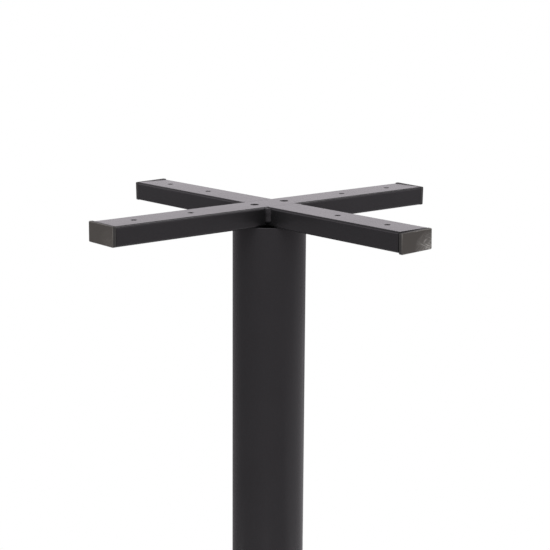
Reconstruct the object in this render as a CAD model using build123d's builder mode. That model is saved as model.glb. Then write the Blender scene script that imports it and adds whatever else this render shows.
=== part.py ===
from build123d import *
import os
from math import asin, degrees, radians, sqrt, tan

# Pedestal table base: a round column on a flat round plate, with a welded cross of flat tube on top.
# Millimetres. Z = 0 is the floor, the column stands on the Z axis, the long arm of the cross runs along X.

# Overall height, floor to the top faces of the arms
TOP_HEIGHT = 720.0

# Column, round steel tube with an open top
COLUMN_D = 76.0
COLUMN_WALL = 2.0
RIM_CHAMFER = 0.6

# Arms, flat rectangular steel tube
ARM_SPAN = 408.0
ARM_WIDTH = 40.0
ARM_HEIGHT = 20.0
ARM_WALL = 1.5
ARM_CORNER = 2.5

# Screw holes for the table top, through both walls of every arm
SCREW_HOLE_D = 5.5
OUTER_HOLE_INSET = 34.0
SCREW_HOLE_PITCH = 68.0

# Two larger holes near the middle of the long arm
MIDDLE_HOLE_D = 8.5
MIDDLE_HOLE_PITCH = 40.0

# Welds of the cross
CORNER_BEAD_LEG = 4.2
CORNER_BEAD_CROWN = 0.5
CORNER_BEAD_DROP = 0.4
CORNER_BEAD_SHORT = 3.0
SEAM_EDGE = 0.4
RIM_BEAD_LEG = 2.5
RIM_BEAD_END = 1.5

# Plastic plugs in the arm ends
CAP_HEAD = 4.0
CAP_LIP = 0.8
CAP_CORNER = 1.2
CAP_EDGE_CHAMFER = 0.6
CAP_STANDOFF = 0.4
CAP_SHANK = 18.0
CAP_SHANK_WALL = 1.6
CAP_RIB_HEIGHT = 1.0
CAP_RIB_WIDTH = 1.6
CAP_RIB_RELIEF = 3.0
CAP_RIB_COUNT = 3
CAP_FIT = 0.1

# Foot flange welded into the lower end of the column
FLANGE_THICK = 8.0
FLANGE_FIT = 0.25
FLANGE_WELD_LEG = 3.0
FLANGE_HOLE_CIRCLE = 44.0
FLANGE_SCREW_COUNT = 4

# Countersunk screws, plate to flange
FOOT_SCREW_D = 8.0
FOOT_SCREW_HEAD_D = 16.0
FOOT_SCREW_SOCKET = 5.0
FOOT_SCREW_SOCKET_DEPTH = 3.0
FOOT_SCREW_RECESS = 0.3
FOOT_SCREW_TIP_GAP = 1.0
FOOT_SCREW_TIP_CHAMFER = 1.0
THREAD_FIT = 0.05
SCREW_CLEARANCE = 0.5
COUNTERSINK_FIT = 0.1
COUNTERSINK_ANGLE = 90.0

# Base plate, its screws and glides lying between the arms
FOOT_TURN = 45.0
PLATE_D = 440.0
PLATE_THICK = 8.0
PLATE_TOP_CHAMFER = 1.5
PLATE_UNDER_CHAMFER = 0.8

# Plastic glides pushed into the plate
GLIDE_D = 24.0
GLIDE_HEIGHT = 4.0
GLIDE_FOOT_CHAMFER = 1.2
GLIDE_STEM_D = 8.0
GLIDE_STEM_FIT = 0.1
GLIDE_STEM_GAP = 0.5
GLIDE_HOLE_SKIN = 2.5
GLIDE_RIM_INSET = 26.0
GLIDE_COUNT = 4

# Levels, from the floor up
plate_bottom = GLIDE_HEIGHT
plate_top = plate_bottom + PLATE_THICK
arm_top = TOP_HEIGHT
arm_bottom = arm_top - ARM_HEIGHT
arm_middle = arm_top - ARM_HEIGHT / 2
column_length = arm_bottom - plate_top

# Reaches out from the column's axis
column_radius = COLUMN_D / 2
column_bore = column_radius - COLUMN_WALL
arm_half_width = ARM_WIDTH / 2
arm_end = ARM_SPAN / 2
outer_hole_reach = arm_end - OUTER_HOLE_INSET
inner_hole_reach = outer_hole_reach - SCREW_HOLE_PITCH

# Turns of the arms about the column: the long arm's two ends, then the short arms
long_arm_turns = {"right": 0, "left": 180}
short_arm_turns = {"rear": 90, "front": 270}
arm_turns = {**long_arm_turns, **short_arm_turns}

# Planes across the long arm, and across an arm where it leaves the long arm's side
cross_section = Plane(origin=(0, 0, arm_middle), x_dir=(0, 1, 0), z_dir=(1, 0, 0))
side_section = cross_section.offset(arm_half_width)
end_section = cross_section.offset(arm_end)

os.makedirs("parts", exist_ok=True)


def finish(piece, name):
    """Label a finished piece and write its file."""
    piece.part.label = name
    export_step(piece.part, f"parts/{name}.step")


def arm_outline(inset, mode=Mode.ADD):
    """Section of the arm tube, drawn inset from its outside face, square once past the corner's round."""
    width = ARM_WIDTH - 2 * inset
    height = ARM_HEIGHT - 2 * inset
    if inset < ARM_CORNER:
        RectangleRounded(width, height, ARM_CORNER - inset, mode=mode)
    else:
        Rectangle(width, height, mode=mode)


def arm_tube_section():
    """Wall of the arm tube."""
    arm_outline(0)
    arm_outline(ARM_WALL, mode=Mode.SUBTRACT)


# Column: cut tube, its outer top edge deburred
with BuildPart() as column:
    with BuildSketch(Plane.XY.offset(plate_top)):
        Circle(column_radius)
        Circle(column_bore, mode=Mode.SUBTRACT)
    extrude(amount=column_length)
    rim_edges = column.faces().sort_by(Axis.Z)[-1].edges().sort_by(SortBy.RADIUS)
    chamfer(rim_edges[-1], RIM_CHAMFER)
finish(column, "column")

# Long arm: one tube right across the column's mouth
with BuildPart() as long_arm:
    with BuildSketch(cross_section):
        arm_tube_section()
    extrude(amount=arm_end, both=True)
    with Locations((0, 0, arm_top)):
        for reach in (outer_hole_reach, inner_hole_reach):
            with GridLocations(2 * reach, 0, 2, 1):
                Hole(SCREW_HOLE_D / 2, depth=ARM_HEIGHT)
        with GridLocations(MIDDLE_HOLE_PITCH, 0, 2, 1):
            Hole(MIDDLE_HOLE_D / 2, depth=ARM_HEIGHT)
finish(long_arm, "long_arm")

# Short arms: two tubes butted against the long arm's sides, drawn along X and turned to each side
with BuildPart() as short_arm:
    with BuildSketch(side_section):
        arm_tube_section()
    extrude(amount=arm_end - arm_half_width)
    with Locations((outer_hole_reach, 0, arm_top), (inner_hole_reach, 0, arm_top)):
        Hole(SCREW_HOLE_D / 2, depth=ARM_HEIGHT)

for side, turn in short_arm_turns.items():
    with BuildPart() as turned_arm:
        with PolarLocations(0, 1, start_angle=turn):
            add(short_arm.part)
    finish(turned_arm, f"short_arm_{side}")

# Corner welds: an upright bead in each inner corner of the cross, run in over the tubes' rounded edges
bead_inside = arm_half_width - ARM_CORNER
bead_outside = arm_half_width + CORNER_BEAD_LEG
bead_crown = arm_half_width + CORNER_BEAD_LEG / 2 + CORNER_BEAD_CROWN / sqrt(2)
bead_low = arm_bottom + CORNER_BEAD_SHORT
with BuildPart() as corner_welds:
    with BuildSketch(Plane.XY.offset(bead_low)):
        with BuildLine():
            Polyline(
                (arm_half_width, bead_outside),
                (bead_inside, bead_outside),
                (bead_inside, bead_inside),
                (bead_outside, bead_inside),
                (bead_outside, arm_half_width),
            )
            ThreePointArc(
                (bead_outside, arm_half_width),
                (bead_crown, bead_crown),
                (arm_half_width, bead_outside),
            )
        make_face()
        mirror(about=Plane.YZ)
        mirror(about=Plane.XZ)
    extrude(amount=arm_top - CORNER_BEAD_DROP - bead_low)
    with BuildSketch(cross_section):
        arm_outline(0)
    extrude(amount=arm_end, both=True, mode=Mode.SUBTRACT)
    for turn in short_arm_turns.values():
        with BuildSketch(Plane.XY.rotated((0, 0, turn)) * side_section):
            arm_outline(0)
        extrude(amount=arm_end - arm_half_width, mode=Mode.SUBTRACT)
finish(corner_welds, "corner_welds")

# Seam welds: fill the groove over the long arm's rounded edge at each butt joint, ground flush
seam_size = ARM_CORNER - SEAM_EDGE
with BuildPart() as seam_welds:
    for turn in short_arm_turns.values():
        with PolarLocations(0, 1, start_angle=turn):
            with Locations((arm_half_width, 0, arm_top)):
                Box(
                    seam_size,
                    2 * bead_inside,
                    seam_size,
                    align=(Align.MAX, Align.CENTER, Align.MAX),
                )
    mirror(about=Plane.XY.offset(arm_middle))
    with BuildSketch(cross_section):
        arm_outline(0)
    extrude(amount=arm_end, both=True, mode=Mode.SUBTRACT)
finish(seam_welds, "seam_welds")

# Rim welds: a fillet under each arm, in the corner of its underside and the column's wall
rim_bead_half_turn = degrees(asin((bead_inside - RIM_BEAD_END) / column_radius))
with BuildPart() as rim_bead:
    with BuildSketch(Plane.XZ):
        with BuildLine():
            Polyline(
                (column_radius, arm_bottom),
                (column_radius + RIM_BEAD_LEG, arm_bottom),
                (column_radius, arm_bottom - RIM_BEAD_LEG),
                close=True,
            )
        make_face()
    revolve(axis=Axis.Z, revolution_arc=2 * rim_bead_half_turn)
with BuildPart() as rim_welds:
    for turn in arm_turns.values():
        with PolarLocations(0, 1, start_angle=turn - rim_bead_half_turn):
            add(rim_bead.part)
finish(rim_welds, "rim_welds")

# End plug: lipped head outside the tube, hollow shank inside it with rows of fins that leave the tube's
# inside corners free, drawn on the arm along +X
rib_inset = ARM_WALL + CAP_FIT
rib_width = ARM_WIDTH - 2 * rib_inset
rib_height = ARM_HEIGHT - 2 * rib_inset
shank_inset = rib_inset + CAP_RIB_HEIGHT
rib_spacing = CAP_SHANK / CAP_RIB_COUNT
first_rib = CAP_STANDOFF - rib_spacing / 2
with BuildPart() as end_plug:
    with BuildSketch(end_section.offset(CAP_STANDOFF)):
        RectangleRounded(ARM_WIDTH + 2 * CAP_LIP, ARM_HEIGHT + 2 * CAP_LIP, CAP_CORNER)
    extrude(amount=CAP_HEAD)
    chamfer(end_plug.faces().sort_by(Axis.X)[-1].edges(), CAP_EDGE_CHAMFER)
    with BuildSketch(end_section.offset(CAP_STANDOFF)):
        arm_outline(shank_inset)
    extrude(amount=-CAP_SHANK)
    for rib in range(CAP_RIB_COUNT):
        with BuildSketch(end_section.offset(first_rib - rib * rib_spacing)):
            Rectangle(rib_width - 2 * CAP_RIB_RELIEF, rib_height)
            Rectangle(rib_width, rib_height - 2 * CAP_RIB_RELIEF)
        extrude(amount=-CAP_RIB_WIDTH)
    with BuildSketch(end_section.offset(CAP_STANDOFF)):
        arm_outline(shank_inset + CAP_SHANK_WALL)
    extrude(amount=-CAP_SHANK, mode=Mode.SUBTRACT)

for side, turn in arm_turns.items():
    with BuildPart() as turned_plug:
        with PolarLocations(0, 1, start_angle=turn):
            add(end_plug.part)
    finish(turned_plug, f"end_cap_{side}")

# Foot flange: disc inside the column's lower end, chamfered for its weld and tapped for the screws
flange_radius = column_bore - FLANGE_FIT
tapped_radius = FOOT_SCREW_D / 2 + THREAD_FIT
with BuildPart() as foot_flange:
    with BuildSketch(Plane.XY.offset(plate_top)):
        Circle(flange_radius)
    extrude(amount=FLANGE_THICK)
    chamfer(foot_flange.edges().sort_by(Axis.Z)[0], FLANGE_WELD_LEG)
    with Locations((0, 0, plate_top + FLANGE_THICK)):
        with PolarLocations(FLANGE_HOLE_CIRCLE / 2, FLANGE_SCREW_COUNT, start_angle=FOOT_TURN):
            Hole(tapped_radius, depth=FLANGE_THICK)
finish(foot_flange, "foot_flange")

# Flange weld: ring that fills the chamfer, ground level with the column's end
with BuildPart() as flange_weld:
    with BuildSketch(Plane.XZ):
        with BuildLine():
            Polyline(
                (flange_radius - FLANGE_WELD_LEG, plate_top),
                (column_bore, plate_top),
                (column_bore, plate_top + FLANGE_WELD_LEG),
                (flange_radius, plate_top + FLANGE_WELD_LEG),
                close=True,
            )
        make_face()
    revolve(axis=Axis.Z)
finish(flange_weld, "flange_weld")

# Base plate: round flat plate with countersunk holes in the middle and blind holes for the glides
glide_reach = PLATE_D / 2 - GLIDE_RIM_INSET
glide_hole_depth = PLATE_THICK - GLIDE_HOLE_SKIN
sink_slope = tan(radians(COUNTERSINK_ANGLE / 2))
sink_radius = FOOT_SCREW_HEAD_D / 2 + COUNTERSINK_FIT + FOOT_SCREW_RECESS * sink_slope
underside = Plane(origin=(0, 0, plate_bottom), x_dir=(1, 0, 0), z_dir=(0, 0, -1))
with BuildPart() as base_plate:
    with BuildSketch(Plane.XY.offset(plate_bottom)):
        Circle(PLATE_D / 2)
    extrude(amount=PLATE_THICK)
    chamfer(base_plate.edges().sort_by(Axis.Z)[-1], PLATE_TOP_CHAMFER)
    chamfer(base_plate.edges().sort_by(Axis.Z)[0], PLATE_UNDER_CHAMFER)
    with Locations(underside):
        with PolarLocations(FLANGE_HOLE_CIRCLE / 2, FLANGE_SCREW_COUNT, start_angle=FOOT_TURN):
            CounterSinkHole(
                FOOT_SCREW_D / 2 + SCREW_CLEARANCE,
                sink_radius,
                depth=PLATE_THICK,
                counter_sink_angle=COUNTERSINK_ANGLE,
            )
        with PolarLocations(glide_reach, GLIDE_COUNT, start_angle=FOOT_TURN):
            Hole(GLIDE_STEM_D / 2 + GLIDE_STEM_FIT, depth=glide_hole_depth)
finish(base_plate, "base_plate")

# Foot screws: countersunk heads just inside the plate, shanks up into the flange
screw_low = plate_bottom + FOOT_SCREW_RECESS
screw_high = plate_top + FLANGE_THICK - FOOT_SCREW_TIP_GAP
screw_head_height = (FOOT_SCREW_HEAD_D - FOOT_SCREW_D) / 2 / sink_slope
with BuildPart() as foot_screw:
    with BuildSketch(Plane.XZ):
        with BuildLine():
            Polyline(
                (0, screw_low),
                (FOOT_SCREW_HEAD_D / 2, screw_low),
                (FOOT_SCREW_D / 2, screw_low + screw_head_height),
                (FOOT_SCREW_D / 2, screw_high - FOOT_SCREW_TIP_CHAMFER),
                (FOOT_SCREW_D / 2 - FOOT_SCREW_TIP_CHAMFER, screw_high),
                (0, screw_high),
                close=True,
            )
        make_face()
    revolve(axis=Axis.Z)
    with BuildSketch(Plane.XY.offset(screw_low)):
        RegularPolygon(FOOT_SCREW_SOCKET / 2, 6, major_radius=False)
    extrude(amount=FOOT_SCREW_SOCKET_DEPTH, mode=Mode.SUBTRACT)
with BuildPart() as foot_screws:
    with PolarLocations(FLANGE_HOLE_CIRCLE / 2, FLANGE_SCREW_COUNT, start_angle=FOOT_TURN):
        add(foot_screw.part)
finish(foot_screws, "foot_screws")

# Glides: round feet with a stem pressed into the plate
glide_stem_top = plate_bottom + glide_hole_depth - GLIDE_STEM_GAP
with BuildPart() as glide:
    with BuildSketch(Plane.XZ):
        with BuildLine():
            Polyline(
                (0, 0),
                (GLIDE_D / 2, 0),
                (GLIDE_D / 2, GLIDE_HEIGHT),
                (GLIDE_STEM_D / 2, GLIDE_HEIGHT),
                (GLIDE_STEM_D / 2, glide_stem_top),
                (0, glide_stem_top),
                close=True,
            )
        make_face()
    revolve(axis=Axis.Z)
    chamfer(glide.edges().filter_by(GeomType.CIRCLE).sort_by(Axis.Z)[0], GLIDE_FOOT_CHAMFER)

with BuildPart() as glide_places:
    with PolarLocations(glide_reach, GLIDE_COUNT, start_angle=FOOT_TURN):
        add(glide.part)
for number, solid in enumerate(glide_places.part.solids(), start=1):
    with BuildPart() as placed_glide:
        add(solid)
    finish(placed_glide, f"glide_{number}")
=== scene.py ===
import bpy
import bmesh
from math import asin, cos, pi, radians, sin, sqrt
from mathutils import Matrix, Vector


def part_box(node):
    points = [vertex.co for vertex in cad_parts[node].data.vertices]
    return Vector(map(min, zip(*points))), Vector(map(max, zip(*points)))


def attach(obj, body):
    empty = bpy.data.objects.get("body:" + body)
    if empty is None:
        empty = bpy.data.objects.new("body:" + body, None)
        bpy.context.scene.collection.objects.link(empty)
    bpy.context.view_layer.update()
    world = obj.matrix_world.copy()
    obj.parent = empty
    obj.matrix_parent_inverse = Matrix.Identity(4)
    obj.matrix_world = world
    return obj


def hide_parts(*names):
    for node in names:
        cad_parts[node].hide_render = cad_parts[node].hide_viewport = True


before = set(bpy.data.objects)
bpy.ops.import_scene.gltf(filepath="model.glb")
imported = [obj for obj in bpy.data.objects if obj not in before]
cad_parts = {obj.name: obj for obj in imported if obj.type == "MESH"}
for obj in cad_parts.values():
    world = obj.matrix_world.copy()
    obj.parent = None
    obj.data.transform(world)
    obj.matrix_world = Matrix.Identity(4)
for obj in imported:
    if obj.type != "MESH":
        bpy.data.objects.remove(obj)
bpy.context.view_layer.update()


# Column: the round post, a length of drawn steel tube sawn square, its mouth left open at the top.
# It is blasted and powder coated satin black in one go with everything that is welded to it.
COLUMN_WALL = 0.002
RIM_ROUND = 0.0006
ROUND_SIDES = 160
ARC_STEPS = 5
SHARP_EDGE = radians(35)
COAT_DARK = (0.0218, 0.0209, 0.0226, 1.0)
COAT_LIGHT = (0.0276, 0.0265, 0.0286, 1.0)
COAT_GLOSS = (0.20, 0.27)
COAT_IOR = 1.40
COAT_SHEEN = (1.0, 0.96, 1.0, 1.0)
DRIFT_SCALE = 16.0
DRIFT_DETAIL = 4.0
PEEL_SCALE = 520.0
PEEL_DETAIL = 1.5
PEEL_DEPTH = 0.00012


def add_node(tree, kind, inputs=None, **settings):
    """Add a node to a tree, with its settings and with a value or another node's socket on its inputs."""
    made = tree.nodes.new(kind)
    for setting, value in settings.items():
        setattr(made, setting, value)
    for socket, value in (inputs or {}).items():
        if isinstance(value, bpy.types.NodeSocket):
            tree.links.new(value, made.inputs[socket])
        else:
            made.inputs[socket].default_value = value
    return made


def two_tones(tree, mask, first, second):
    """Colour that runs from one tone to another as a mask goes from 0 to 1."""
    ramp = add_node(tree, "ShaderNodeValToRGB", {"Fac": mask})
    ramp.color_ramp.elements[0].color = first
    ramp.color_ramp.elements[1].color = second
    return ramp.outputs["Color"]


def spread(tree, mask, low, high, start=0.0, end=1.0):
    """Number that runs from low to high as a mask goes from start to end."""
    sockets = {"Value": mask, "From Min": start, "From Max": end, "To Min": low, "To Max": high}
    return add_node(tree, "ShaderNodeMapRange", sockets).outputs["Result"]


def mottle(tree, place, scale, detail):
    """Mask of soft patches."""
    return add_node(tree, "ShaderNodeTexNoise", {"Vector": place, "Scale": scale, "Detail": detail}).outputs["Fac"]


def new_finish(name):
    """Empty finish, its node tree, and the place on the piece that its patterns go by."""
    finish = bpy.data.materials.new(name)
    finish.use_nodes = True
    return finish, finish.node_tree, add_node(finish.node_tree, "ShaderNodeTexCoord").outputs["Object"]


def lay_on(tree, tone, gloss, relief, depth):
    """Put a finish's tone, gloss and fine relief on its shader."""
    shader = tree.nodes["Principled BSDF"]
    bump = add_node(tree, "ShaderNodeBump", {"Height": relief, "Distance": depth})
    tree.links.new(tone, shader.inputs["Base Color"])
    tree.links.new(gloss, shader.inputs["Roughness"])
    tree.links.new(bump.outputs["Normal"], shader.inputs["Normal"])


def powder_coat():
    """Satin black powder coat: orange peel too fine to see from a step away, and a drift of tone and gloss."""
    finish, tree, place = new_finish("powder_coat_black")
    shader = tree.nodes["Principled BSDF"]
    shader.inputs["IOR"].default_value = COAT_IOR
    shader.inputs["Specular Tint"].default_value = COAT_SHEEN
    drift = mottle(tree, place, DRIFT_SCALE, DRIFT_DETAIL)
    peel = mottle(tree, place, PEEL_SCALE, PEEL_DETAIL)
    tone = two_tones(tree, drift, COAT_DARK, COAT_LIGHT)
    lay_on(tree, tone, spread(tree, drift, *COAT_GLOSS), peel, PEEL_DEPTH)
    return finish


def round_ring(radius, height, sides=ROUND_SIDES):
    """Circle of points about the column's axis."""
    turns = [2 * pi * step / sides for step in range(sides)]
    return [Vector((radius * cos(turn), radius * sin(turn), height)) for turn in turns]


def arc(centre, radius, start, end):
    """Points of an arc between two angles in degrees, as pairs of numbers."""
    turns = [radians(start + (end - start) * step / ARC_STEPS) for step in range(ARC_STEPS + 1)]
    return [(centre[0] + radius * cos(turn), centre[1] + radius * sin(turn)) for turn in turns]


def skin(name, rings, closed=False):
    """Piece whose skin runs over rings of points in turn, closed on itself or by a face at each end."""
    shell = bmesh.new()
    loops = [[shell.verts.new(point) for point in ring] for ring in rings]
    pairs = list(zip(loops, loops[1:]))
    if closed:
        pairs.append((loops[-1], loops[0]))
    else:
        shell.faces.new(loops[0])
        shell.faces.new(loops[-1])
    for here, there in pairs:
        for spot in range(len(here)):
            shell.faces.new((here[spot - 1], here[spot], there[spot], there[spot - 1]))
    bmesh.ops.recalc_face_normals(shell, faces=shell.faces)
    mesh = bpy.data.meshes.new(name)
    shell.to_mesh(mesh)
    shell.free()
    piece = bpy.data.objects.new(name, mesh)
    bpy.context.collection.objects.link(piece)
    return piece


def shade(piece):
    """Shade a piece smooth, with its sharp edges kept and its flat faces left flat."""
    piece.data.shade_smooth()
    piece.data.set_sharp_from_angle(angle=SHARP_EDGE)
    piece.modifiers.new("even_shading", "WEIGHTED_NORMAL").keep_sharp = True


column_low, column_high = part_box("column")
column_radius = column_high.x
column_bore = column_radius - COLUMN_WALL
column_outline = [
    (column_bore, column_low.z),
    (column_radius, column_low.z),
    *arc((column_radius - RIM_ROUND, column_high.z - RIM_ROUND), RIM_ROUND, 0, 90),
    (column_bore, column_high.z),
]
coat = powder_coat()
column = skin("column_tube", [round_ring(*point) for point in column_outline], closed=True)
column.data.materials.append(coat)
shade(column)
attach(column, "root")
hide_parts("column")


# Arms: flat rectangular steel tube, one long piece right across the column's mouth and two short ones butted
# against its sides. Drilled through both walls for the table top's screws, with two larger holes near the
# middle, and deburred on top with a countersink. The coat softens every cut edge.
ARM_WALL = 0.0015
ARM_CORNER = 0.0025
SCREW_HOLE = 0.00275
OUTER_HOLE_INSET = 0.034
SCREW_HOLE_PITCH = 0.068
MIDDLE_HOLE = 0.00425
MIDDLE_HOLE_PITCH = 0.040
HOLES_IN_ROW = 2
HOLE_DEBURR = 0.0005
COAT_ROUND = 0.0002
COAT_ROUND_STEPS = 2
DRILL_SIDES = 40
DRILL_OVERRUN = 0.002
JOIN_REACH = 0.00002


def new_tree(name, inputs):
    """Empty node tree that takes a piece and some named sizes, and gives a piece."""
    tree = bpy.data.node_groups.new(name, "GeometryNodeTree")
    for label, kind in {"Geometry": "Geometry", **inputs}.items():
        tree.interface.new_socket(label, in_out="INPUT", socket_type=f"NodeSocket{kind}")
    tree.interface.new_socket("Geometry", in_out="OUTPUT", socket_type="NodeSocketGeometry")
    return tree


def combine(tree, operation, first, second):
    """Number that two others make."""
    return add_node(tree, "ShaderNodeMath", {0: first, 1: second}, operation=operation).outputs["Value"]


def drill_tree():
    """Node tree that drills a row or a ring of holes, straight or tapered, along the column's axis."""
    tree = new_tree("drilled_holes", {
        "Count": "Int",
        "First hole": "Vector",
        "Step": "Vector",
        "Turn": "Float",
        "Lower radius": "Float",
        "Upper radius": "Float",
        "Depth": "Float",
        "Twist": "Float",
        "Finish": "Material",
    })
    sizes = add_node(tree, "NodeGroupInput").outputs
    row = add_node(tree, "GeometryNodeMeshLine", {
        "Count": sizes["Count"],
        "Start Location": sizes["First hole"],
        "Offset": sizes["Step"],
    })
    index = add_node(tree, "GeometryNodeInputIndex").outputs["Index"]
    turned = add_node(tree, "ShaderNodeVectorRotate", {
        "Vector": add_node(tree, "GeometryNodeInputPosition").outputs["Position"],
        "Angle": combine(tree, "MULTIPLY", index, sizes["Turn"]),
    }, rotation_type="Z_AXIS")
    places = add_node(tree, "GeometryNodeSetPosition", {
        "Geometry": row.outputs["Mesh"],
        "Position": turned.outputs["Vector"],
    })
    drill = add_node(tree, "GeometryNodeMeshCone", {
        "Vertices": DRILL_SIDES,
        "Radius Bottom": sizes["Lower radius"],
        "Radius Top": sizes["Upper radius"],
        "Depth": sizes["Depth"],
    })
    twisted = add_node(tree, "FunctionNodeAxisAngleToRotation", {"Axis": (0, 0, 1), "Angle": sizes["Twist"]})
    drills = add_node(tree, "GeometryNodeInstanceOnPoints", {
        "Points": places.outputs["Geometry"],
        "Instance": drill.outputs["Mesh"],
        "Rotation": twisted.outputs["Rotation"],
    })
    drilled = add_node(tree, "GeometryNodeMeshBoolean", {
        "Mesh 1": sizes["Geometry"],
        "Mesh 2": add_node(tree, "GeometryNodeRealizeInstances", {
            "Geometry": drills.outputs["Instances"],
        }).outputs["Geometry"],
    }, operation="DIFFERENCE", solver="EXACT")
    finish = add_node(tree, "GeometryNodeSetMaterial", {
        "Geometry": add_node(tree, "GeometryNodeRealizeInstances", {
            "Geometry": drilled.outputs["Mesh"],
        }).outputs["Geometry"],
        "Material": sizes["Finish"],
    })
    add_node(tree, "NodeGroupOutput", {"Geometry": finish.outputs["Geometry"]})
    return tree


def use_tree(piece, tree, sizes):
    """Put a node tree on a piece, with the named sizes on its inputs."""
    modifier = piece.modifiers.new(tree.name, "NODES")
    modifier.node_group = tree
    sockets = {item.name: item.identifier for item in tree.interface.items_tree if item.in_out == "INPUT"}
    for name, value in sizes.items():
        modifier[sockets[name]] = value


def soften(piece, radius):
    """Round a piece's cut edges a little, as a coat of paint leaves them."""
    piece.modifiers.new("joined_points", "WELD").merge_threshold = JOIN_REACH
    bevel = piece.modifiers.new("softened_edges", "BEVEL")
    bevel.width = radius
    bevel.segments = COAT_ROUND_STEPS
    bevel.limit_method = "ANGLE"
    bevel.angle_limit = SHARP_EDGE


def bake(piece):
    """Turn a piece's modifiers into plain mesh, and shade it."""
    dressed = piece.evaluated_get(bpy.context.evaluated_depsgraph_get())
    mesh = bpy.data.meshes.new_from_object(dressed)
    piece.modifiers.clear()
    piece.data = mesh
    shade(piece)


long_low, long_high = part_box("long_arm")
arm_width = long_high.y - long_low.y
arm_height = long_high.z - long_low.z
arm_middle = (long_high.z + long_low.z) / 2
arm_end = long_high.x
outer_hole_reach = arm_end - OUTER_HOLE_INSET
inner_hole_reach = outer_hole_reach - SCREW_HOLE_PITCH
drill_low = long_low.z - DRILL_OVERRUN
drill_depth = arm_height + 2 * DRILL_OVERRUN
drilled_holes = drill_tree()


def tube_ring(inset, corner, reach):
    """Section of the arm that lies along X: a rounded rectangle, inset from the tube's outside."""
    across = arm_width / 2 - inset - corner
    upright = arm_height / 2 - inset - corner
    corners = [(across, upright, 0), (-across, upright, 90), (-across, -upright, 180), (across, -upright, 270)]
    ring = [point for y, z, turn in corners for point in arc((y, arm_middle + z), corner, turn, turn + 90)]
    return [Vector((reach, y, z)) for y, z in ring]


def drill_row(piece, reach, pitch, radius, along):
    """Drill a row of through holes along an arm, and take the burr off their upper rims."""
    sink = radius + HOLE_DEBURR + DRILL_OVERRUN
    drills = [
        (drill_low, radius, radius, drill_depth, 0.0),
        (long_high.z + DRILL_OVERRUN - sink, 0.0, sink, sink, pi / DRILL_SIDES),
    ]
    for start, lower, upper, depth, twist in drills:
        use_tree(piece, drilled_holes, {
            "Count": HOLES_IN_ROW,
            "First hole": (*(reach * along).xy, start),
            "Step": pitch * along,
            "Turn": 0.0,
            "Lower radius": lower,
            "Upper radius": upper,
            "Depth": depth,
            "Twist": twist,
            "Finish": coat,
        })


def arm_tube(name, start, end):
    """Open-ended arm tube along X."""
    outside = [(0.0, ARM_CORNER, start), (0.0, ARM_CORNER, end)]
    inside = [(ARM_WALL, ARM_CORNER - ARM_WALL, end), (ARM_WALL, ARM_CORNER - ARM_WALL, start)]
    return skin(name, [tube_ring(*point) for point in outside + inside], closed=True)


long_arm = arm_tube("long_arm_tube", -arm_end, arm_end)
drill_row(long_arm, inner_hole_reach, SCREW_HOLE_PITCH, SCREW_HOLE, Vector((1, 0, 0)))
drill_row(long_arm, inner_hole_reach, SCREW_HOLE_PITCH, SCREW_HOLE, Vector((-1, 0, 0)))
drill_row(long_arm, -MIDDLE_HOLE_PITCH / 2, MIDDLE_HOLE_PITCH, MIDDLE_HOLE, Vector((1, 0, 0)))
soften(long_arm, COAT_ROUND)
bake(long_arm)
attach(long_arm, "root")
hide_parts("long_arm")

short_arm_turns = {"rear": radians(90), "front": radians(270)}
for side, turn in short_arm_turns.items():
    short_arm = arm_tube(f"short_arm_{side}_tube", arm_width / 2, arm_end)
    short_arm.data.transform(Matrix.Rotation(turn, 4, "Z"))
    along = Vector((cos(turn), sin(turn), 0))
    drill_row(short_arm, inner_hole_reach, SCREW_HOLE_PITCH, SCREW_HOLE, along)
    soften(short_arm, COAT_ROUND)
    bake(short_arm)
    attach(short_arm, "root")
    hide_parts(f"short_arm_{side}")


# Welds: steel wire run in where the tubes meet, and coated over with them. A bead stands in each inner corner of
# the cross, and a short one under each arm, round the column's rim. The coat in the inner corners, beads and all,
# is darkened with painted shade. The seams over the butt joints are ground flush and the corner beads stop just
# short, so that the table top lies flat.
ARM_COUNT = 4
CORNER_BEAD_LEGS = (0.0038, 0.0058)
CORNER_BEAD_BITE = 0.0012
CORNER_BEAD_RIPPLES = 12
CORNER_BEAD_SHORT = 0.0006
RIM_BEAD_LEGS = (0.0024, 0.0024)
RIM_BEAD_BITE = 0.0005
RIM_BEAD_RIPPLES = 19
RIM_BEAD_HALF_TURN = radians(24.9)
BEAD_STEPS = 130
BEAD_SIDES = 14
BEAD_RUN_OUT = 3.2
BEAD_STOP = 30.0
BEAD_ROUND = 1.43
BEAD_RIPPLE = 0.014
BEAD_BOW = 1.3
BEAD_WANDER = 0.05
BEAD_WANDER_TURNS = 1.7
# painted shade: the darker coat tone laid in the cross's inner corners
CORNER_SHADE_TONE = (0.0125, 0.0123, 0.0130, 1.0)
CORNER_SHADE_REACH = (0.008, 0.036)
CORNER_SHADE_LOW = (0.0, 0.0006)
CORNER_SHADE_HIGH = (0.0012, 0.0036)
MIX_FIRST, MIX_SECOND, MIX_RESULT = 6, 7, 2  # the mix node's colour sockets, whose names others share


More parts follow.
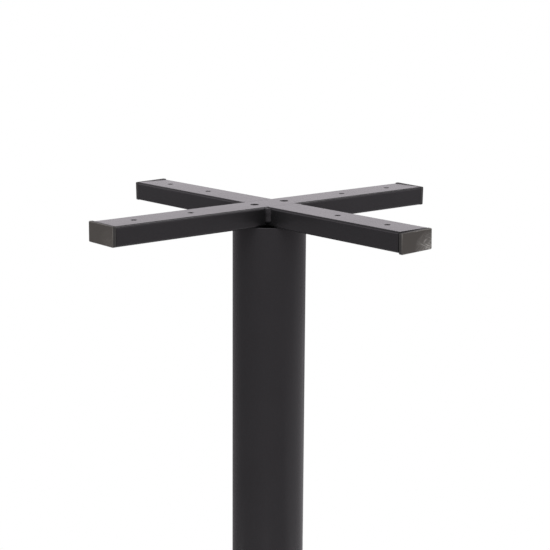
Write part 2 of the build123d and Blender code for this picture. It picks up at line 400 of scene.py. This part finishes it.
def weld_bead(name, corners, legs, bite, ripples, ends):
    """Fillet along a corner of two walls, crowned and rippled. Each end runs out slowly or stops bluntly."""
    centre = (1 - sqrt(2 * BEAD_ROUND ** 2 - 1)) / 2
    toe = asin(-centre / BEAD_ROUND)
    turns = [toe + (pi / 2 - 2 * toe) * side / BEAD_SIDES for side in range(BEAD_SIDES + 1)]
    rings = []
    for along, corner, first_wall, second_wall in corners:
        end = ends[0] if along < 0.5 else ends[1]
        swell = (1 - abs(2 * along - 1) ** end) ** (1 / end)
        swell *= 1 + BEAD_WANDER * sin(2 * pi * BEAD_WANDER_TURNS * along)
        face = []
        for turn in turns:
            wave = cos(2 * pi * ripples * along + BEAD_BOW * cos(2 * turn - pi / 2))
            size = swell * (1 + BEAD_RIPPLE * wave)
            face.append((legs[0] * size * (centre + BEAD_ROUND * cos(turn)),
                         legs[1] * size * (centre + BEAD_ROUND * sin(turn))))
        root = [(-bite, face[-1][1]), (-bite, -bite), (face[0][0], -bite)]
        rings.append([corner + first * first_wall + second * second_wall for first, second in face + root])
    return skin(name, rings)


def mix_tones(tree, mask, first, second):
    """Tone that runs from one to another, plain or made by nodes, as a mask goes from 0 to 1."""
    tones = {"Factor": mask, MIX_FIRST: first, MIX_SECOND: second}
    return add_node(tree, "ShaderNodeMix", tones, data_type="RGBA").outputs[MIX_RESULT]


def paint_corner_shade(finish):
    """Darken a coat with painted shade in the inner corners of the cross, on the arms' sides and on the beads."""
    tree = finish.node_tree
    shader = tree.nodes["Principled BSDF"]
    tone = shader.inputs["Base Color"].links[0].from_socket
    place = add_node(tree, "ShaderNodeTexCoord").outputs["Object"]
    height = add_node(tree, "ShaderNodeSeparateXYZ", {0: place}).outputs["Z"]
    flat = add_node(tree, "ShaderNodeVectorMath", {0: place, 1: (1, 1, 0)}, operation="MULTIPLY")
    one_corner = add_node(tree, "ShaderNodeVectorMath", {0: flat.outputs["Vector"]}, operation="ABSOLUTE")
    away = add_node(tree, "ShaderNodeVectorMath", {
        0: one_corner.outputs["Vector"],
        1: (arm_width / 2, arm_width / 2, 0),
    }, operation="DISTANCE")
    near = spread(tree, away.outputs["Value"], 1.0, 0.0, *CORNER_SHADE_REACH)
    above = spread(tree, height, 0.0, 1.0, *[long_low.z + step for step in CORNER_SHADE_LOW])
    below = spread(tree, height, 0.0, 1.0, *[long_high.z - step for step in CORNER_SHADE_HIGH])
    # painted shade: darkest at each inner corner, fading out along the arms and towards their top and bottom edges
    corner_shade = combine(tree, "MULTIPLY", near, combine(tree, "MULTIPLY", above, below))
    tree.links.new(mix_tones(tree, corner_shade, tone, CORNER_SHADE_TONE), shader.inputs["Base Color"])


def ring_tree():
    """Node tree that sets copies of a piece at even turns round the column's axis."""
    tree = new_tree("ring_of_pieces", {"Count": "Int", "Turn": "Float", "Finish": "Material"})
    sizes = add_node(tree, "NodeGroupInput").outputs
    places = add_node(tree, "GeometryNodeMeshLine", {"Count": sizes["Count"], "Offset": (0, 0, 0)})
    index = add_node(tree, "GeometryNodeInputIndex").outputs["Index"]
    turned = add_node(tree, "FunctionNodeAxisAngleToRotation", {
        "Axis": (0, 0, 1),
        "Angle": combine(tree, "MULTIPLY", index, sizes["Turn"]),
    })
    copies = add_node(tree, "GeometryNodeInstanceOnPoints", {
        "Points": places.outputs["Mesh"],
        "Instance": sizes["Geometry"],
        "Rotation": turned.outputs["Rotation"],
    })
    finish = add_node(tree, "GeometryNodeSetMaterial", {
        "Geometry": add_node(tree, "GeometryNodeRealizeInstances", {
            "Geometry": copies.outputs["Instances"],
        }).outputs["Geometry"],
        "Material": sizes["Finish"],
    })
    add_node(tree, "NodeGroupOutput", {"Geometry": finish.outputs["Geometry"]})
    return tree


def repeat_round(piece, count, finish):
    """Repeat a piece at even turns round the column, in one finish."""
    use_tree(piece, ring_of_pieces, {"Count": count, "Turn": 2 * pi / count, "Finish": finish})
    bake(piece)


def dress(node, finish):
    """Give a CAD piece that is kept as it is its finish."""
    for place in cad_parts[node].material_slots:
        place.material = finish


paint_corner_shade(coat)
ring_of_pieces = ring_tree()
bead_places = [(1 - cos(pi * (step + 0.5) / BEAD_STEPS)) / 2 for step in range(BEAD_STEPS)]
bead_low, bead_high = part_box("corner_welds")
bead_rise = bead_high.z - CORNER_BEAD_SHORT - bead_low.z
inner_corner = [
    (along, Vector((arm_width / 2, arm_width / 2, bead_low.z + along * bead_rise)),
     Vector((1, 0, 0)), Vector((0, 1, 0)))
    for along in bead_places
]
corner_beads = weld_bead("corner_weld_beads", inner_corner, CORNER_BEAD_LEGS, CORNER_BEAD_BITE,
                         CORNER_BEAD_RIPPLES, ends=(BEAD_RUN_OUT, BEAD_STOP))
repeat_round(corner_beads, ARM_COUNT, coat)
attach(corner_beads, "root")
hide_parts("corner_welds")

rim_turns = [(along, RIM_BEAD_HALF_TURN * (2 * along - 1)) for along in bead_places]
rim_walls = [(along, Vector((cos(turn), sin(turn), 0))) for along, turn in rim_turns]
under_arm = [
    (along, column_radius * wall + Vector((0, 0, column_high.z)), wall, Vector((0, 0, -1)))
    for along, wall in rim_walls
]
rim_beads = weld_bead("rim_weld_beads", under_arm, RIM_BEAD_LEGS, RIM_BEAD_BITE, RIM_BEAD_RIPPLES,
                      ends=(BEAD_RUN_OUT, BEAD_RUN_OUT))
repeat_round(rim_beads, ARM_COUNT, coat)
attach(rim_beads, "root")
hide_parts("rim_welds")

dress("seam_welds", coat)


# Foot flange: a thick steel disc let into the column's lower end, welded round its edge from below and the
# weld ground level. It is tapped for the four screws, and coated with the column.
dress("foot_flange", coat)
dress("flange_weld", coat)


# Base plate: a heavy round of flat steel, its rim rounded over on top. Drilled and countersunk from below
# for the screws, with four blind holes near the rim for the glides, and coated like the column.
PLATE_TOP_ROUND = 0.0015
PLATE_UNDER_ROUND = 0.0008
SCREW_CIRCLE = 0.022
SCREW_CLEARANCE = 0.0045
COUNTERSINK = 0.0084
GLIDE_HOLE = 0.0041
GLIDE_HOLE_DEPTH = 0.0055
FOOT_COUNT = 4
FOOT_TURN = radians(45)


def drill_ring(piece, reach, lower, upper, start, depth):
    """Drill a ring of holes round the column's axis, one between each two arms."""
    use_tree(piece, drilled_holes, {
        "Count": FOOT_COUNT,
        "First hole": (reach * cos(FOOT_TURN), reach * sin(FOOT_TURN), start),
        "Step": (0.0, 0.0, 0.0),
        "Turn": 2 * pi / FOOT_COUNT,
        "Lower radius": lower,
        "Upper radius": upper,
        "Depth": depth,
        "Twist": 0.0,
        "Finish": coat,
    })


plate_low, plate_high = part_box("base_plate")
plate_radius = min(*plate_high.xy, *-plate_low.xy)
plate_thick = plate_high.z - plate_low.z
plate_under = plate_low.z - DRILL_OVERRUN
glide_low, glide_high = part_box("glide_1")
glide_reach = (glide_low + glide_high).xy.length / 2
plate_outline = [
    *arc((plate_radius - PLATE_UNDER_ROUND, plate_low.z + PLATE_UNDER_ROUND), PLATE_UNDER_ROUND, -90, 0),
    *arc((plate_radius - PLATE_TOP_ROUND, plate_high.z - PLATE_TOP_ROUND), PLATE_TOP_ROUND, 0, 90),
]
plate = skin("base_plate_round", [round_ring(*point) for point in plate_outline])
drill_ring(plate, SCREW_CIRCLE, SCREW_CLEARANCE, SCREW_CLEARANCE, plate_under, plate_thick + 2 * DRILL_OVERRUN)
drill_ring(plate, SCREW_CIRCLE, COUNTERSINK + DRILL_OVERRUN, 0.0, plate_under, COUNTERSINK + DRILL_OVERRUN)
drill_ring(plate, glide_reach, GLIDE_HOLE, GLIDE_HOLE, plate_under, GLIDE_HOLE_DEPTH + DRILL_OVERRUN)
soften(plate, COAT_ROUND)
bake(plate)
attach(plate, "root")
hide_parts("base_plate")


# Foot screws: four countersunk steel screws with a hexagon socket, bright zinc plated, driven up through
# the plate into the flange. Their heads lie just inside the plate's underside.
SCREW_SIDES = 48
SCREW_SHANK = 0.004
SCREW_SOCKET = 0.0025
SCREW_SOCKET_DEPTH = 0.003
SCREW_SOCKET_LEAD = 0.0002
SOCKET_FLAT = pi / 3
SCREW_DRILL_POINT = (0.0003, 0.0009)
SCREW_HEAD_EDGE = 0.00025
SCREW_TIP = 0.001
ZINC_PALE = (0.66, 0.66, 0.65, 1.0)
ZINC_DULL = (0.50, 0.50, 0.49, 1.0)
ZINC_GLOSS = (0.26, 0.44)
ZINC_SCALE = 420.0
ZINC_DETAIL = 5.0
ZINC_DEPTH = 0.00005


def zinc_plate():
    """Bright zinc plating, clouded where it was tumbled."""
    finish, tree, place = new_finish("zinc_plated_steel")
    tree.nodes["Principled BSDF"].inputs["Metallic"].default_value = 1.0
    cloud = mottle(tree, place, ZINC_SCALE, ZINC_DETAIL)
    tone = two_tones(tree, cloud, ZINC_PALE, ZINC_DULL)
    lay_on(tree, tone, spread(tree, cloud, *ZINC_GLOSS), cloud, ZINC_DEPTH)
    return finish


def socket_ring(half_width, height):
    """Hexagon of points about the column's axis."""
    ring = []
    for step in range(SCREW_SIDES):
        turn = 2 * pi * step / SCREW_SIDES
        radius = half_width / cos(turn % SOCKET_FLAT - SOCKET_FLAT / 2)
        ring.append(Vector((radius * cos(turn), radius * sin(turn), height)))
    return ring


screw_low, screw_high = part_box("foot_screws")
screw_head = (screw_high.x - screw_low.x) / 2 - SCREW_CIRCLE * cos(FOOT_TURN)
socket_end = screw_low.z + SCREW_SOCKET_DEPTH
point_radius, point_depth = SCREW_DRILL_POINT
screw_outline = [
    (screw_head - SCREW_HEAD_EDGE, screw_low.z),
    (screw_head, screw_low.z + SCREW_HEAD_EDGE),
    (SCREW_SHANK, screw_low.z + screw_head - SCREW_SHANK),
    (SCREW_SHANK, screw_high.z - SCREW_TIP),
    (SCREW_SHANK - SCREW_TIP, screw_high.z),
]
screws = skin("foot_screw_set", [
    round_ring(point_radius, socket_end + point_depth, sides=SCREW_SIDES),
    socket_ring(SCREW_SOCKET, socket_end),
    socket_ring(SCREW_SOCKET, screw_low.z + SCREW_SOCKET_LEAD),
    socket_ring(SCREW_SOCKET + SCREW_SOCKET_LEAD, screw_low.z),
    *[round_ring(*point, sides=SCREW_SIDES) for point in screw_outline],
])
screws.data.transform(Matrix.Translation((SCREW_CIRCLE * cos(FOOT_TURN), SCREW_CIRCLE * sin(FOOT_TURN), 0)))
repeat_round(screws, FOOT_COUNT, zinc_plate())
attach(screws, "root")
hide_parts("foot_screws")


# Glides: four round feet moulded in black plastic, each with a stem pressed into its hole in the plate.
# They hold the plate just off the floor. The underside has the mould's ring and gate mark.
GLIDE_SIDES = 72
GLIDE_FOOT_ROUND = 0.0012
GLIDE_TOP_ROUND = 0.0004
GLIDE_STEM = 0.004
GLIDE_STEM_LEAD = 0.0007
GATE_MARK = 0.0016
GATE_DEPTH = 0.0004
RING_MARK = (0.0072, 0.0084)
RING_DEPTH = 0.0003
GLIDE_DARK = (0.032, 0.032, 0.033, 1.0)
GLIDE_RUBBED = (0.062, 0.061, 0.060, 1.0)
GLIDE_GLOSS = (0.42, 0.60)
GLIDE_RUB_SCALE = 140.0
GLIDE_RUB_DETAIL = 5.0
GLIDE_GRAIN = 1500.0
GLIDE_GRAIN_DETAIL = 1.0
GLIDE_GRAIN_DEPTH = 0.00006


def glide_plastic():
    """Matt black plastic with a fine moulded grain, rubbed grey in patches."""
    finish, tree, place = new_finish("glide_plastic_black")
    rub = mottle(tree, place, GLIDE_RUB_SCALE, GLIDE_RUB_DETAIL)
    grain = mottle(tree, place, GLIDE_GRAIN, GLIDE_GRAIN_DETAIL)
    tone = two_tones(tree, rub, GLIDE_DARK, GLIDE_RUBBED)
    lay_on(tree, tone, spread(tree, rub, *GLIDE_GLOSS), grain, GLIDE_GRAIN_DEPTH)
    return finish


glide_radius = (glide_high.x - glide_low.x) / 2
glide_outline = [
    (GATE_MARK, GATE_DEPTH),
    (GATE_MARK, 0.0),
    (RING_MARK[0], 0.0),
    (RING_MARK[0], RING_DEPTH),
    (RING_MARK[1], RING_DEPTH),
    (RING_MARK[1], 0.0),
    *arc((glide_radius - GLIDE_FOOT_ROUND, GLIDE_FOOT_ROUND), GLIDE_FOOT_ROUND, -90, 0),
    *arc((glide_radius - GLIDE_TOP_ROUND, plate_low.z - GLIDE_TOP_ROUND), GLIDE_TOP_ROUND, 0, 90),
    (GLIDE_STEM, plate_low.z),
    (GLIDE_STEM, glide_high.z - GLIDE_STEM_LEAD),
    (GLIDE_STEM - GLIDE_STEM_LEAD, glide_high.z),
]
glides = skin("glide_set", [round_ring(*point, sides=GLIDE_SIDES) for point in glide_outline])
glides.data.transform(Matrix.Translation((glide_reach * cos(FOOT_TURN), glide_reach * sin(FOOT_TURN), 0)))
repeat_round(glides, FOOT_COUNT, glide_plastic())
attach(glides, "root")
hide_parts("glide_1", "glide_2", "glide_3", "glide_4")


# End plugs: black plastic mouldings knocked into the four arm ends last of all. A flat head as large as the
# tube stands just off its end, and a hollow shank with three fins grips inside. They sit a little high,
# low or turned, as knocked in. Handling has greyed and scuffed their outer faces.
PLUG_CORNER = 0.0012
PLUG_EDGE = 0.0006
PLUG_BACK_EDGE = 0.0003
PLUG_GAP = 0.0004
PLUG_SHANK = 0.018
PLUG_SHANK_WALL = 0.0016
SHANK_CORNER = 0.0003
PLUG_FIT = 0.0001
FIN_COUNT = 3
FIN_HEIGHT = 0.001
FIN_WIDTH = 0.0016
FIN_CORNER = 0.003
FIN_LEAD = 0.0003
PLUG_SET = {
    "right": {"aside": 0.0, "up": 0.0003, "roll": radians(1.0)},
    "left": {"aside": 0.0005, "up": 0.00055, "roll": radians(-0.6)},
    "rear": {"aside": 0.0, "up": 0.0003, "roll": radians(-1.2)},
    "front": {"aside": 0.0004, "up": -0.0006, "roll": radians(1.6)},
}
PLUG_DARK = (0.031, 0.029, 0.028, 1.0)
PLUG_LIGHT = (0.040, 0.038, 0.036, 1.0)
PLUG_GREYED = (0.069, 0.0610, 0.0528, 1.0)
PLUG_RUBBED_AND_HIGHLIGHT = (0.56, 0.535, 0.51, 1.0)
PLUG_GLOSS = (0.42, 0.60)
PLUG_TONE_SCALE = 70.0
PLUG_TONE_DETAIL = 4.0
PLUG_GRAIN = 1300.0
PLUG_GRAIN_DETAIL = 1.0
PLUG_GRAIN_DEPTH = 0.00006
# edge rub: partly real wear and partly a painted highlight on the face's rounded edges
EDGE_RUB_AND_HIGHLIGHT = {"low": 0.20, "high": 0.85, "start": 0.35, "end": 0.65}
SCUFF_AT = (0.0180, -0.0085)
SCUFF_REACH = (0.0220, 0.0185)
SCUFF_FADE = (0.15, 1.0)
SCRATCH_TURNS = (radians(24), radians(-38))
SCRATCH_SCALE = (0, 80, 900)
SCRATCH_DETAIL = 3.0
SCRATCH_BEND = 0.8
SCRATCH_MARKS = {"low": 0.22, "high": 1.0, "start": 0.51, "end": 0.66}
SCUFFED = {"right": 0.2, "left": 0.12, "rear": 0.2, "front": 1.0}
plug_turns = {"right": 0.0, "left": pi, **short_arm_turns}


def plug_plastic(side):
    """Matt black plastic of one plug, seen square to its own face: grain, greyed face, scuffs, and rubbed edges
    that also carry a painted highlight.
    """
    finish, tree, spot = new_finish(f"plug_plastic_{side}")
    place = add_node(tree, "ShaderNodeMapping", {
        "Vector": spot,
        "Location": (0, -PLUG_SET[side]["aside"], -PLUG_SET[side]["up"] - arm_middle),
        "Rotation": (0, 0, -plug_turns[side]),
    }).outputs["Vector"]
    size = add_node(tree, "ShaderNodeVectorMath", {0: place}, operation="ABSOLUTE")
    out, across, up = add_node(tree, "ShaderNodeSeparateXYZ", {0: size.outputs["Vector"]}).outputs
    at_front = spread(tree, out, 0.0, 1.0, plug_face - PLUG_EDGE, plug_face)
    at_side = spread(tree, across, 0.0, 1.0, arm_width / 2 - PLUG_EDGE, arm_width / 2)
    at_top = spread(tree, up, 0.0, 1.0, arm_height / 2 - PLUG_EDGE, arm_height / 2)
    edge = combine(tree, "MULTIPLY", at_front, combine(tree, "MAXIMUM", at_side, at_top))
    seed = list(plug_turns).index(side)
    tone = add_node(tree, "ShaderNodeTexNoise", {
        "Vector": place,
        "W": seed,
        "Scale": PLUG_TONE_SCALE,
        "Detail": PLUG_TONE_DETAIL,
    }, noise_dimensions="4D").outputs["Fac"]
    scratches = []
    for turn in SCRATCH_TURNS:
        slant = add_node(tree, "ShaderNodeMapping", {"Vector": place, "Rotation": (turn, 0, 0)})
        drawn = add_node(tree, "ShaderNodeMapping", {"Vector": slant.outputs["Vector"], "Scale": SCRATCH_SCALE})
        scratches.append(add_node(tree, "ShaderNodeTexNoise", {
            "Vector": drawn.outputs["Vector"],
            "W": seed,
            "Scale": 1.0,
            "Detail": SCRATCH_DETAIL,
            "Distortion": SCRATCH_BEND,
        }, noise_dimensions="4D").outputs["Fac"])
    around = add_node(tree, "ShaderNodeMapping", {
        "Vector": place,
        "Location": (0, -SCUFF_AT[0] / SCUFF_REACH[0], -SCUFF_AT[1] / SCUFF_REACH[1]),
        "Scale": (0, 1 / SCUFF_REACH[0], 1 / SCUFF_REACH[1]),
    })
    distance = add_node(tree, "ShaderNodeVectorMath", {0: around.outputs["Vector"]}, operation="LENGTH")
    patch = spread(tree, distance.outputs["Value"], SCUFFED[side], 0.0, *SCUFF_FADE)
    marks = spread(tree, combine(tree, "MAXIMUM", *scratches), **SCRATCH_MARKS)
    scuff = combine(tree, "MULTIPLY", patch, marks)
    # painted highlight: the face's edges are lightened, partly as rubbed wear and partly standing in for the light
    # they catch
    worn_and_highlight = combine(tree, "MULTIPLY", edge, spread(tree, tone, **EDGE_RUB_AND_HIGHLIGHT))
    on_face = combine(tree, "MULTIPLY", combine(tree, "MAXIMUM", scuff, worn_and_highlight), at_front)
    black = two_tones(tree, tone, PLUG_DARK, PLUG_LIGHT)
    greyed = mix_tones(tree, at_front, black, PLUG_GREYED)
    scuffed_and_highlit = mix_tones(tree, on_face, greyed, PLUG_RUBBED_AND_HIGHLIGHT)
    grain = mottle(tree, place, PLUG_GRAIN, PLUG_GRAIN_DETAIL)
    lay_on(tree, scuffed_and_highlit, spread(tree, tone, *PLUG_GLOSS), grain, PLUG_GRAIN_DEPTH)
    return finish


plug_back = arm_end + PLUG_GAP
plug_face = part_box("end_cap_right")[1].x
shank_end = plug_back - PLUG_SHANK
fin_inset = ARM_WALL + PLUG_FIT
shank_inset = fin_inset + FIN_HEIGHT
fin_spacing = PLUG_SHANK / FIN_COUNT
shank_outline = [
    (shank_inset + PLUG_SHANK_WALL, SHANK_CORNER, plug_back),
    (shank_inset + PLUG_SHANK_WALL, SHANK_CORNER, shank_end),
    (shank_inset, SHANK_CORNER, shank_end),
]
for fin in range(FIN_COUNT):
    fin_end = plug_back - (FIN_COUNT - fin - 0.5) * fin_spacing
    shank_outline += [
        (shank_inset, SHANK_CORNER, fin_end - FIN_WIDTH),
        (fin_inset, FIN_CORNER, fin_end - FIN_WIDTH + FIN_LEAD),
        (fin_inset, FIN_CORNER, fin_end),
        (shank_inset, SHANK_CORNER, fin_end),
    ]
shank_outline.append((shank_inset, SHANK_CORNER, plug_back))
edge_round = arc((plug_face - PLUG_EDGE, PLUG_EDGE), PLUG_EDGE, -90, 0)
head_outline = [
    (PLUG_BACK_EDGE, PLUG_CORNER - PLUG_BACK_EDGE, plug_back),
    (0.0, PLUG_CORNER, plug_back + PLUG_BACK_EDGE),
    *[(inset, PLUG_CORNER - inset, reach) for reach, inset in edge_round],
]
for side, turn in plug_turns.items():
    sitting = PLUG_SET[side]
    axis = Vector((0, 0, arm_middle))
    shift = Vector((0, sitting["aside"], sitting["up"]))
    roll = Matrix.Rotation(sitting["roll"], 3, "X")
    shank_rings = [tube_ring(*point) for point in shank_outline]
    head_rings = [[axis + shift + roll @ (spot - axis) for spot in tube_ring(*point)] for point in head_outline]
    plug = skin(f"end_plug_{side}", shank_rings + head_rings)
    plug.data.transform(Matrix.Rotation(turn, 4, "Z"))
    plug.data.materials.append(plug_plastic(side))
    shade(plug)
    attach(plug, "root")
    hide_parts(f"end_cap_{side}")


# Floor, light and camera: a pale seamless studio floor in a soft white room that the coat mirrors with a faint
# tint, two large soft lamps overhead and a weak one low at the right. The floor turns to plain white away from
# the base's own shadow.
FLOOR_REACH = 0.56
FLOOR_TONE = (0.82, 0.82, 0.82, 1.0)
SHADOW_REACH = 0.30
WHITE_REACH = 0.55
PLAIN_WHITE = (1, 1, 1, 1)
AMBIENT = (0.30, 0.70)
AMBIENT_BAND = (-0.3, 0.3)
ROOM_FLOOR = (0.42, 0.25)
ROOM_FLOOR_BAND = (-0.6, 0.6)
HORIZON_BAND = (-0.1, 0.05)
ROOM_CEILING = 0.15
CEILING_BAND = (0.30, 0.60)
ROOM_TINT = (1.06, 1.0, 1.06, 1.0)
CAMERA_AT = Vector((-0.93696, -1.09068, 0.94592))
CAMERA_HEADING = radians(49.091)
CAMERA_DIP = radians(11.857)
CAMERA_ROLL = radians(0.3685)
CAMERA_LENS = 92.54
LAMPS = {
    "overhead_front": {"at": (-1.15, -0.7, 2.5), "aim": (0.0, 0.0, 0.6), "size": (1.6, 1.6), "power": 20.0},
    "overhead_right": {"at": (1.5, -0.45, 2.9), "aim": (0.0, 0.0, 0.7), "size": (1.3, 1.3), "power": 14.0},
    "low_right": {"at": (1.46, -0.53, 0.0), "aim": (1.46, -0.53, 1.0), "size": (2.2, 2.2), "power": 3.4},
}


def seen_white(tree):
    """Mask of the rays that show the plain white surround: straight, mirrored and seen through."""
    rays = add_node(tree, "ShaderNodeLightPath").outputs
    mirrored = combine(tree, "MAXIMUM", rays["Is Glossy Ray"], rays["Is Transmission Ray"])
    return combine(tree, "MAXIMUM", rays["Is Camera Ray"], mirrored)


world = bpy.data.worlds.new("soft_surround")
world.use_nodes = True
bpy.context.scene.world = world
sky = world.node_tree
way = add_node(sky, "ShaderNodeSeparateXYZ", {0: add_node(sky, "ShaderNodeTexCoord").outputs["Generated"]})
dome = spread(sky, way.outputs["Z"], *AMBIENT, *AMBIENT_BAND)
soft = add_node(sky, "ShaderNodeBackground", {"Color": PLAIN_WHITE, "Strength": dome})
ground = spread(sky, way.outputs["Y"], *ROOM_FLOOR, *ROOM_FLOOR_BAND)
low_edge = spread(sky, way.outputs["Z"], ground, 1.0, *HORIZON_BAND)
high_edge = spread(sky, way.outputs["Z"], 1.0, ROOM_CEILING, *CEILING_BAND)
straight = add_node(sky, "ShaderNodeLightPath").outputs["Is Camera Ray"]
level = combine(sky, "MAXIMUM", combine(sky, "MULTIPLY", low_edge, high_edge), straight)
tint = mix_tones(sky, straight, ROOM_TINT, PLAIN_WHITE)
white = add_node(sky, "ShaderNodeBackground", {"Color": tint, "Strength": level})
surround = add_node(sky, "ShaderNodeMixShader", {
    0: seen_white(sky),
    1: soft.outputs["Background"],
    2: white.outputs["Background"],
})
sky.links.new(surround.outputs["Shader"], sky.nodes["World Output"].inputs["Surface"])

floor_paint = bpy.data.materials.new("studio_floor")
floor_paint.use_nodes = True
paint = floor_paint.node_tree
floor_place = add_node(paint, "ShaderNodeTexCoord").outputs["Object"]
floor_way = add_node(paint, "ShaderNodeVectorMath", {0: floor_place}, operation="LENGTH")
far = spread(paint, floor_way.outputs["Value"], 0.0, 1.0, SHADOW_REACH, WHITE_REACH)
matt = add_node(paint, "ShaderNodeBsdfDiffuse", {"Color": FLOOR_TONE})
bright = add_node(paint, "ShaderNodeEmission", {"Color": PLAIN_WHITE, "Strength": 1.0})
floor_mix = add_node(paint, "ShaderNodeMixShader", {
    0: combine(paint, "MULTIPLY", far, seen_white(paint)),
    1: matt.outputs["BSDF"],
    2: bright.outputs["Emission"],
})
paint.links.new(floor_mix.outputs["Shader"], paint.nodes["Material Output"].inputs["Surface"])
floor_corners = [(-1, -1), (1, -1), (1, 1), (-1, 1)]
floor_mesh = bpy.data.meshes.new("studio_floor")
floor_mesh.from_pydata([(FLOOR_REACH * x, FLOOR_REACH * y, 0) for x, y in floor_corners], [], [range(4)])
floor_mesh.materials.append(floor_paint)
floor = bpy.data.objects.new("studio_floor", floor_mesh)
bpy.context.collection.objects.link(floor)

for name, setting in LAMPS.items():
    light = bpy.data.lights.new(name, "AREA")
    light.shape = "RECTANGLE"
    light.size, light.size_y = setting["size"]
    light.energy = setting["power"]
    lamp = bpy.data.objects.new(name, light)
    lamp.location = setting["at"]
    lamp.rotation_euler = (Vector(setting["aim"]) - lamp.location).to_track_quat("-Z", "Y").to_euler()
    lamp.visible_camera = False
    bpy.context.collection.objects.link(lamp)

lens = bpy.data.cameras.new("photo_camera")
lens.lens = CAMERA_LENS
camera = bpy.data.objects.new("photo_camera", lens)
camera.location = CAMERA_AT
heading = Matrix.Rotation(CAMERA_HEADING - pi / 2, 3, "Z")
dip = Matrix.Rotation(pi / 2 - CAMERA_DIP, 3, "X")
roll = Matrix.Rotation(CAMERA_ROLL, 3, "Z")
camera.rotation_euler = (heading @ dip @ roll).to_euler()
bpy.context.collection.objects.link(camera)
bpy.context.scene.camera = camera
bpy.context.scene.view_settings.view_transform = "Standard"
